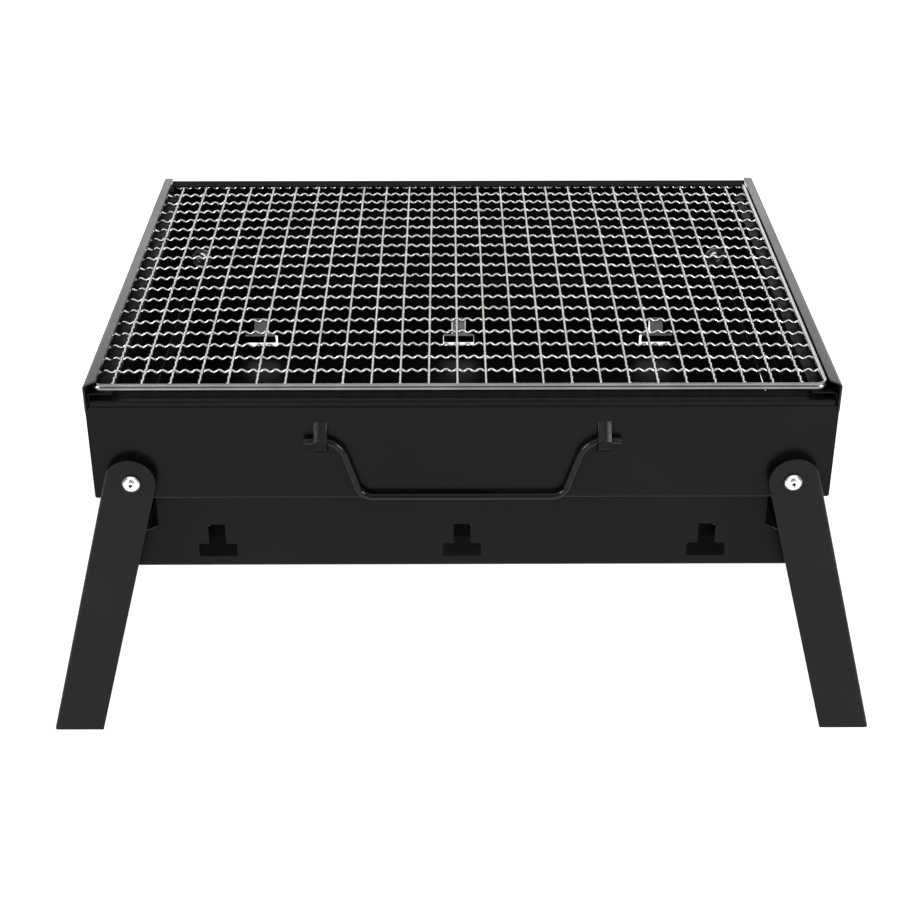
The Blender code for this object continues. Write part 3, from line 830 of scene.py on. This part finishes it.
def grate_rail(side, side_name):
    """Angle strip over an end wall, mitred at its front inner corner."""
    path = rounded_path([(RAIL_FLANGE, RIM - HALF_SHEET), (HALF_SHEET, RIM - HALF_SHEET),
                         (HALF_SHEET, RIM - RAIL_SKIRT_DROP)])
    rail = prism(f"grate_rail_{side_name}_angle", strip_outline(path), -RAIL_END_Y,
                 RAIL_END_Y, into_end(side, BODY_HALF_X))
    inner = BODY_HALF_X - RAIL_FLANGE - CUT_PAST
    mitre = [Vector(corner) for corner in (
        (side * inner, -RAIL_END_Y - CUT_PAST),
        (side * (inner + RAIL_MITRE + CUT_PAST), -RAIL_END_Y - CUT_PAST),
        (side * (inner + RAIL_MITRE + CUT_PAST), -RAIL_END_Y),
        (side * inner, -RAIL_END_Y + RAIL_MITRE + CUT_PAST))]
    cutter = prism("rail_mitre", mitre, RIM - 2 * SHEET, RIM + SHEET, level)
    combine(rail, [cutter])
    round_edges(rail, RAIL_LIT_PAINT)
    finish(rail, "body", "grate_rail_" + side_name)


# Fire tray.

def vent_outline(clearance=0.0, root=0.0, length=VENT_LENGTH, corner=VENT_CORNER_RADIUS):
    """An upside-down T from its top edge down. root extends the stem upwards."""
    stem = VENT_STEM_WIDTH / 2 - clearance
    bar = VENT_BAR_WIDTH / 2 - clearance
    shoulder = -VENT_STEM_LENGTH - clearance
    foot = -length + clearance
    corners = [(-stem, root), (-stem, shoulder), (-bar, shoulder), (-bar, foot),
               (bar, foot), (bar, shoulder), (stem, shoulder), (stem, root)]
    return rounded_outline(corners, [0, 0, corner, corner, corner, corner, 0, 0], steps=5)


def vent_tab(x, front):
    """The vent's own metal in two plates: one drooping in from the wall, and its
    foot, turned down and a little back."""
    turn = Matrix.Rotation(math.pi if front < 0 else 0.0, 4, "Z")
    spot = Vector((x, front * (TRAY_HALF_DEPTH - HALF_SHEET),
                   RIM - VENT_TOP_DROP + HALF_SHEET / 2))
    droop = Matrix.Translation(spot) @ turn @ Matrix.Rotation(TAB_DROOP, 4, "X")
    down = (droop @ Matrix.Translation((0, -TAB_BEND, 0))
            @ Matrix.Rotation(TAB_FOOT_TURN, 4, "X"))
    bar = VENT_BAR_WIDTH / 2 - GAP
    end = TAB_BEND - VENT_LENGTH + GAP
    corners = [(-bar, HALF_SHEET), (-bar, end), (bar, end), (bar, HALF_SHEET)]
    foot = rounded_outline(corners, [0, VENT_CORNER_RADIUS, VENT_CORNER_RADIUS, 0], steps=5)
    name = f"vent_tab_{x:.3f}_{front}"
    tab = prism(name, vent_outline(GAP, HALF_SHEET / 2, TAB_BEND, TAB_CORNER), -HALF_SHEET,
                HALF_SHEET, lambda u, v, w: droop @ Vector((u, v, w)))
    combine(tab, [prism(name + "_foot", foot, -HALF_SHEET, HALF_SHEET,
                        lambda u, v, w: down @ Vector((u, v, w)))], "UNION")
    return tab


def tray_shell():
    """One bent sheet with notched corners. The rear notches cut only the flange."""
    side = TRAY_HALF_DEPTH - HALF_SHEET
    top = TRAY_HIGH.z - HALF_SHEET
    bottom = TRAY_LOW.z + HALF_SHEET
    path = rounded_path([(TRAY_LOW.y, top), (-side, top), (-side, bottom), (side, bottom),
                         (side, top), (TRAY_HIGH.y, top)])
    shell = prism("fire_tray_shell", strip_outline(path), TRAY_LOW.x, TRAY_HIGH.x, sideways)
    depth = TRAY_HIGH.y + CUT_PAST
    cutters = []
    above = TRAY_HIGH.z + CUT_PAST
    for end in (-1, 1):
        inner, outer = end * TRAY_NOTCH_X, end * (TRAY_HIGH.x + CUT_PAST)
        corners = [Vector(corner) for corner in (
            (inner, above), (outer, above), (outer, RIM - TRAY_NOTCH_SLOPE_DROP),
            (inner, RIM - TRAY_NOTCH_DROP))]
        for low, high in ((-depth, 0.0), (TRAY_HALF_DEPTH + SHEET, depth)):
            cutters.append(prism("tray_notch", corners, low, high, upright))
    for column in (-1, 0, 1):
        outline = [point + Vector((column * VENT_PITCH, RIM - VENT_TOP_DROP))
                   for point in vent_outline()]
        cutters.append(prism(f"vent_{column}", outline, -depth, depth, upright))
    combine(shell, cutters)
    tabs = [vent_tab(column * VENT_PITCH, front) for column in (-1, 0, 1)
            for front in (-1, 1)]
    combine(shell, tabs, "UNION")
    round_edges(shell, PAINT)
    inside_shade_and_tab_light(shell)
    finish(shell, "tray", "tray_shell")


def tray_end(side, side_name):
    """An end plate of the tray, with a flange along its bottom."""
    low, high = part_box("tray_end_" + side_name)
    bottom = low.z + HALF_SHEET
    path = rounded_path([(HALF_SHEET, high.z), (HALF_SHEET, bottom),
                         (TRAY_END_FLANGE, bottom)])
    piece = prism(f"tray_end_{side_name}_panel", strip_outline(path), low.y, high.y,
                  into_end(side, TRAY_HIGH.x))
    round_edges(piece, PAINT)
    inside_shade_and_tab_light(piece)
    finish(piece, "tray", "tray_end_" + side_name)


# Legs and their pivots.

def leg_place(side):
    """Places of a splayed leg: across its strips, along it from the pivot, and Y."""
    splay = Matrix.Rotation(-side * LEG_SPLAY, 4, "Y")
    pivot = Vector((side * PIVOT_X, 0, PIVOT_Z))
    return lambda across, along, y: pivot + splay @ Vector((side * across, y, along))


def foot_along(across):
    """Where the foot's level cut crosses this line along the leg."""
    return (-PIVOT_Z - across * math.sin(LEG_SPLAY)) / math.cos(LEG_SPLAY)


def leg(side, side_name):
    """U-shaped leg: a strip outside each wall, joined by a web below, with stop tabs."""
    place = leg_place(side)
    inside = BODY_HALF_Y + LEG_STANDOFF
    middle = inside + LEG_SHEET / 2
    web = LEG_OUTER - LEG_SHEET / 2
    section = rounded_path([(-LEG_INNER - CUT_PAST, -middle), (web, -middle),
                            (web, middle), (-LEG_INNER - CUT_PAST, middle)])
    past = 2 * PIVOT_Z
    channel = prism(f"leg_{side_name}_channel", strip_outline(section, LEG_SHEET),
                    -past, past, lambda u, v, w: place(u, w, v))
    centre = Vector(((LEG_OUTER - LEG_INNER) / 2, 0.0))
    outline = [Vector((-LEG_INNER, foot_along(-LEG_INNER))),
               Vector((LEG_OUTER, foot_along(LEG_OUTER)))]
    outline += arc(centre, (LEG_INNER + LEG_OUTER) / 2, 0.0, math.pi, 40)
    depth = inside + CUT_PAST
    combine(channel, [prism("leg_trim", outline, -depth, depth, place)], "INTERSECT")
    full = inside - LEG_EDGE_FLANGE
    tabs = inside - STOP_TAB_DEPTH
    levels = [(full, LEG_OUTER + CUT_PAST), (full, -STOP_TAB_START), (tabs, -STOP_TAB_START),
              (tabs, -STOP_TAB_END), (full, -STOP_TAB_END), (full, -LEG_WEB_START)]
    right = [Vector(corner) for corner in levels]
    left = [Vector((-corner.x, corner.y)) for corner in reversed(right)]
    radii = [0, STOP_TAB_ROOT_ROUND, STOP_TAB_ROUND, STOP_TAB_ROUND, STOP_TAB_ROOT_ROUND,
             WEB_END_ROUND]
    openings = prism("leg_openings", rounded_outline(right + left, radii + radii[::-1], 5),
                     LEG_OUTER - 3 * LEG_SHEET, LEG_OUTER + CUT_PAST,
                     lambda u, v, w: place(w, v, u))
    combine(channel, [openings, rod("leg_hole", PIVOT_HOLE_RADIUS, -depth, depth,
                                    side * PIVOT_X, PIVOT_Z)])
    round_edges(channel, LEG_LIT_PAINT)
    finish(channel, "leg_" + side_name, "leg_" + side_name)


def rivet_profile():
    """Domed head with a dimple on a thin seat, shank and upset tail. Zero height is
    the wall's outer face, and height grows outwards."""
    seat_radius = (RIVET_HIGH.x - RIVET_LOW.x) / 2
    head_top = RIVET_HIGH.y - BODY_HALF_Y
    head_base = LEG_STANDOFF + LEG_SHEET + GAP
    tail_end = RIVET_LOW.y - BODY_HALF_Y
    washer_face = -SHEET - 2 * GAP - WASHER_THICKNESS
    dome_height = head_top - head_base - HEAD_RIM
    dimple = [(DIMPLE_RADIUS * step / 5,
               head_top - DIMPLE_DEPTH * math.cos(math.pi / 2 * step / 5) ** 2)
              for step in range(6)]
    dome = []
    for step in range(1, 13):
        share = math.sin(math.pi / 24 * step)
        dome.append((DIMPLE_RADIUS + (HEAD_RADIUS - DIMPLE_RADIUS) * share,
                     head_top - dome_height * share ** DOME_POWER))
    seat = [(HEAD_RADIUS, head_base + HEAD_RIM / 2), (seat_radius, head_base + HEAD_RIM / 4),
            (seat_radius, head_base)]
    shank = [(SHANK_RADIUS, head_base), (SHANK_RADIUS, washer_face)]
    tail_heights = (washer_face, (washer_face + tail_end) / 2, tail_end)
    return dimple + dome + seat + shank + list(zip(TAIL_RADII, tail_heights)) + [(0.0, tail_end)]


def ring_profile(outer, low, high):
    """A flat ring round the pivot hole, with its edges taken off."""
    inner, cut = PIVOT_HOLE_RADIUS, RING_ROUND
    return [(outer - cut, high), (outer, high - cut), (outer, low + cut), (outer - cut, low),
            (inner + cut, low), (inner, low + cut), (inner, high - cut), (inner + cut, high)]


def pivots():
    """A rivet, a spacer and a washer at each of the four leg pivots."""
    washer_top = -SHEET - GAP
    rings = (("leg_spacer_", ring_profile(SPACER_RADIUS, GAP, LEG_STANDOFF - GAP)),
             ("rivet_washer_", ring_profile(WASHER_RADIUS, washer_top - WASHER_THICKNESS,
                                            washer_top)))
    for front, front_name in ((-1, "front"), (1, "rear")):
        for side, side_name in ((-1, "left"), (1, "right")):
            corner = f"{front_name}_{side_name}"

            def place(x, height, z):
                return (side * PIVOT_X + x, front * (BODY_HALF_Y + height), PIVOT_Z + z)

            rivet = turned(f"rivet_{corner}_turned", rivet_profile(), place)
            shade(rivet, 40)
            rivet.data.materials.append(RIVET_CHROME)
            rivet.data.materials.append(RIVET_PAINTED_SHADE)
            # Painted shade: the dimple's pit and the seat ring round the head take the
            # near-black plating.
            for face in rivet.data.polygons:
                offset = math.hypot(face.center.x - side * PIVOT_X, face.center.z - PIVOT_Z)
                height = front * face.center.y - BODY_HALF_Y
                if height > LEG_STANDOFF and not PIT_SHADE_RADIUS < offset < HEAD_RADIUS:
                    face.material_index = 1
            finish(rivet, "body", "pivot_rivet_" + corner)
            for prefix, profile in rings:
                ring = turned(prefix + corner + "_turned", profile, place)
                shade(ring, 40)
                finish(ring, "body", prefix + corner, ZINC)


# Carry handle.

def half_handle():
    """Right half of the handle's centre line, from its tail to the middle of its
    bar, as X and Z about the hinge axis."""
    wire_radius = (HANDLE_HIGH.y - HANDLE_LOW.y) / 2
    shoulder = Vector((HANDLE_SHOULDER_X, -HANDLE_SHOULDER_RADIUS))
    upper = arc(shoulder, HANDLE_SHOULDER_RADIUS, math.pi / 2, HANDLE_TURN, 20)
    bar = HANDLE_LOW.z + wire_radius - HANDLE_Z
    elbow_rise = HANDLE_ELBOW_RADIUS * (1 - math.cos(HANDLE_TURN))
    slope = Vector((-math.cos(HANDLE_TURN), -math.sin(HANDLE_TURN)))
    straight = (upper[-1].y - (bar + elbow_rise)) / -slope.y
    lower_start = upper[-1] + slope * straight
    normal = Vector((slope.y, -slope.x))
    elbow = lower_start + normal * HANDLE_ELBOW_RADIUS
    start = math.atan2(-normal.y, -normal.x)
    lower = arc(elbow, HANDLE_ELBOW_RADIUS, start, -HANDLE_TURN, 16)
    tail = Vector((HANDLE_HIGH.x - wire_radius * HANDLE_CAP, 0.0))
    return [tail] + upper + lower


def carry_handle():
    """The bent wire, with its two ends closed by low domes."""
    wire_radius = (HANDLE_HIGH.y - HANDLE_LOW.y) / 2
    right = half_handle()
    half = right + [Vector((-point.x, point.y)) for point in reversed(right)]
    points = [(point.x, HANDLE_Y, HANDLE_Z + point.y) for point in half]
    radii = [wire_radius] * len(points)
    angles = [math.pi / 2 * step / 5 for step in range(1, 5)]
    cap_reach = [wire_radius * HANDLE_CAP * math.sin(angle) for angle in angles]
    cap_radii = [wire_radius * math.cos(angle) for angle in angles]
    first = [(points[0][0] + reach, HANDLE_Y, HANDLE_Z) for reach in reversed(cap_reach)]
    last = [(points[-1][0] - reach, HANDLE_Y, HANDLE_Z) for reach in cap_reach]
    wire = swept(first + points + last, cap_radii[::-1] + radii + cap_radii, (0, 1, 0), 20)
    handle = wires_object("carry_handle_wire", [wire])
    shade(handle, 60)
    finish(handle, "handle", "carry_handle", HANDLE_PAINT)


# Grate.

BORDER_RADIUS = (BORDER_HIGH.z - BORDER_LOW.z) / 2
BORDER_X = (BORDER_LOW.x + BORDER_RADIUS - BORDER_COVER,
            BORDER_HIGH.x - BORDER_RADIUS + BORDER_COVER)
BORDER_Y = (BORDER_LOW.y + BORDER_RADIUS, BORDER_HIGH.y - BORDER_RADIUS)
GRATE_Z = (BORDER_LOW.z + BORDER_HIGH.z) / 2


def grate_rise(x, y):
    """The mesh's gentle crown above its border."""
    across = (x - sum(BORDER_X) / 2) / ((BORDER_X[1] - BORDER_X[0]) / 2)
    along = (y - sum(BORDER_Y) / 2) / ((BORDER_Y[1] - BORDER_Y[0]) / 2)
    edge = (1 - across ** 6) * (1 - along ** 6)
    crown = MESH_CROWN * (1 - across ** 2) * (1 - along ** 2)
    return crown + MESH_REAR_RISE * (1 + along) / 2 * edge


def mesh_wire(along_y, index):
    """One crimped wire: its points and radii, from border to border."""
    pitch = CROSS_PITCH if along_y else LONG_PITCH
    start, end = BORDER_Y if along_y else BORDER_X
    phase = FIRST_CROSS_Y if along_y else FIRST_LONG_X
    count = round((end - start) / (pitch / HALF_WAVES)) * STEPS_PER_HALF_WAVE
    travel = np.linspace(start, end, count + 1)
    if along_y:
        x = np.full_like(travel, FIRST_LONG_X + index * LONG_PITCH)
        y = travel
    else:
        x = travel
        y = np.full_like(travel, FIRST_CROSS_Y - index * CROSS_PITCH)
    turn = 1 if index % 2 else -1
    wave = turn * np.cos(math.pi * HALF_WAVES * (travel - phase) / pitch)
    wave *= MESH_WIRE / 2 * (1 if along_y else -1)
    from_end = np.minimum(travel - start, end - travel)
    settle = np.clip(from_end / (2 * BORDER_RADIUS), 0, 1)
    z = GRATE_Z + grate_rise(x, y) + wave * settle
    weld = np.clip((from_end - BORDER_RADIUS) / WELD_LENGTH, 0, 3)
    radii = MESH_WIRE / 2 * (1 + WELD_SWELL * np.exp(-weld ** 2))
    normal = (1, 0, 0) if along_y else (0, 1, 0)
    return swept(np.stack([x, y, z], 1), radii, normal, 8)


def grate():
    """The border wire and the woven mesh welded on it."""
    centre_x, centre_y = sum(BORDER_X) / 2, sum(BORDER_Y) / 2
    corners = rectangle((BORDER_X[1] - BORDER_X[0]) / 2, (BORDER_Y[1] - BORDER_Y[0]) / 2,
                        centre_x, centre_y)
    outline = rounded_outline(corners, BORDER_CORNER_RADIUS, steps=10)
    points = [(point.x, point.y, GRATE_Z) for point in outline]
    wire = swept(points, BORDER_RADIUS, (0, 0, 1), 24, closed=True)
    border = wires_object("grate_border_wire", [wire])
    shade(border, 60)
    finish(border, "grate", "grate_border", BORDER_SHADED_CHROME)
    wires = [mesh_wire(True, index) for index in range(LONG_WIRES)]
    wires += [mesh_wire(False, index) for index in range(CROSS_WIRES)]
    mesh = wires_object("grate_woven_mesh", wires)
    shade(mesh, 60)
    finish(mesh, "grate", "grate_mesh", GRATE_CHROME)


# Stage.

def area_light(name, place, size, power):
    """A softbox that looks at the middle of the stage."""
    data = bpy.data.lights.new(name, "AREA")
    data.shape = "RECTANGLE"
    data.size, data.size_y = size
    data.energy = power
    light = bpy.data.objects.new(name, data)
    light.location = place
    aim = Vector(STAGE_CENTRE) - Vector(place)
    light.rotation_euler = aim.to_track_quat("-Z", "Y").to_euler()
    light.visible_camera = False
    bpy.context.scene.collection.objects.link(light)


def studio():
    """A white floor, even air and four softboxes."""
    bm = bmesh.new()
    bmesh.ops.create_grid(bm, x_segments=2, y_segments=2, size=FLOOR_HALF_SIZE)
    floor = mesh_object("studio_floor", bm)
    floor.location.z = -FLOOR_DROP
    material = bpy.data.materials.new("studio_white")
    material.use_nodes = True
    shader = material.node_tree.nodes["Principled BSDF"]
    shader.inputs["Base Color"].default_value = (0.35, 0.35, 0.35, 1)
    shader.inputs["Emission Color"].default_value = (1, 1, 1, 1)
    shader.inputs["Emission Strength"].default_value = FLOOR_GLOW
    shader.inputs["Roughness"].default_value = 0.9
    shader.inputs["Specular IOR Level"].default_value = 0.1
    floor.data.materials.append(material)
    world = bpy.data.worlds.new("studio_air")
    world.use_nodes = True
    background = world.node_tree.nodes["Background"]
    background.inputs["Color"].default_value = (1, 1, 1, 1)
    background.inputs["Strength"].default_value = WORLD_GLOW
    bpy.context.scene.world = world
    area_light("back_softbox", (0, 2.6, 1.16), (4.5, 0.90), 30)
    area_light("top_softbox", (0, -0.1, 3.0), (5.0, 4.0), 75)
    for side, side_name in ((-1, "left"), (1, "right")):
        area_light(f"{side_name}_softbox", (side * 1.9, -1.7, 1.1), (0.85, 1.0), 52)


def camera():
    """The view of the grill from the front and above."""
    data = bpy.data.cameras.new("camera")
    data.lens = CAMERA_LENS
    data.sensor_width = 36.0
    made = bpy.data.objects.new("camera", data)
    made.location = CAMERA_PLACE
    made.rotation_euler = (math.pi / 2 - CAMERA_DOWN, 0, CAMERA_TURN)
    bpy.context.scene.collection.objects.link(made)
    bpy.context.scene.camera = made
    bpy.context.scene.view_settings.view_transform = "Standard"


front_wall()
rear_wall()
tray_shell()
for SIDE, SIDE_NAME in ((-1, "left"), (1, "right")):
    end_wall(SIDE, SIDE_NAME)
    grate_rail(SIDE, SIDE_NAME)
    tray_end(SIDE, SIDE_NAME)
    leg(SIDE, SIDE_NAME)
pivots()
carry_handle()
grate()
studio()
camera()
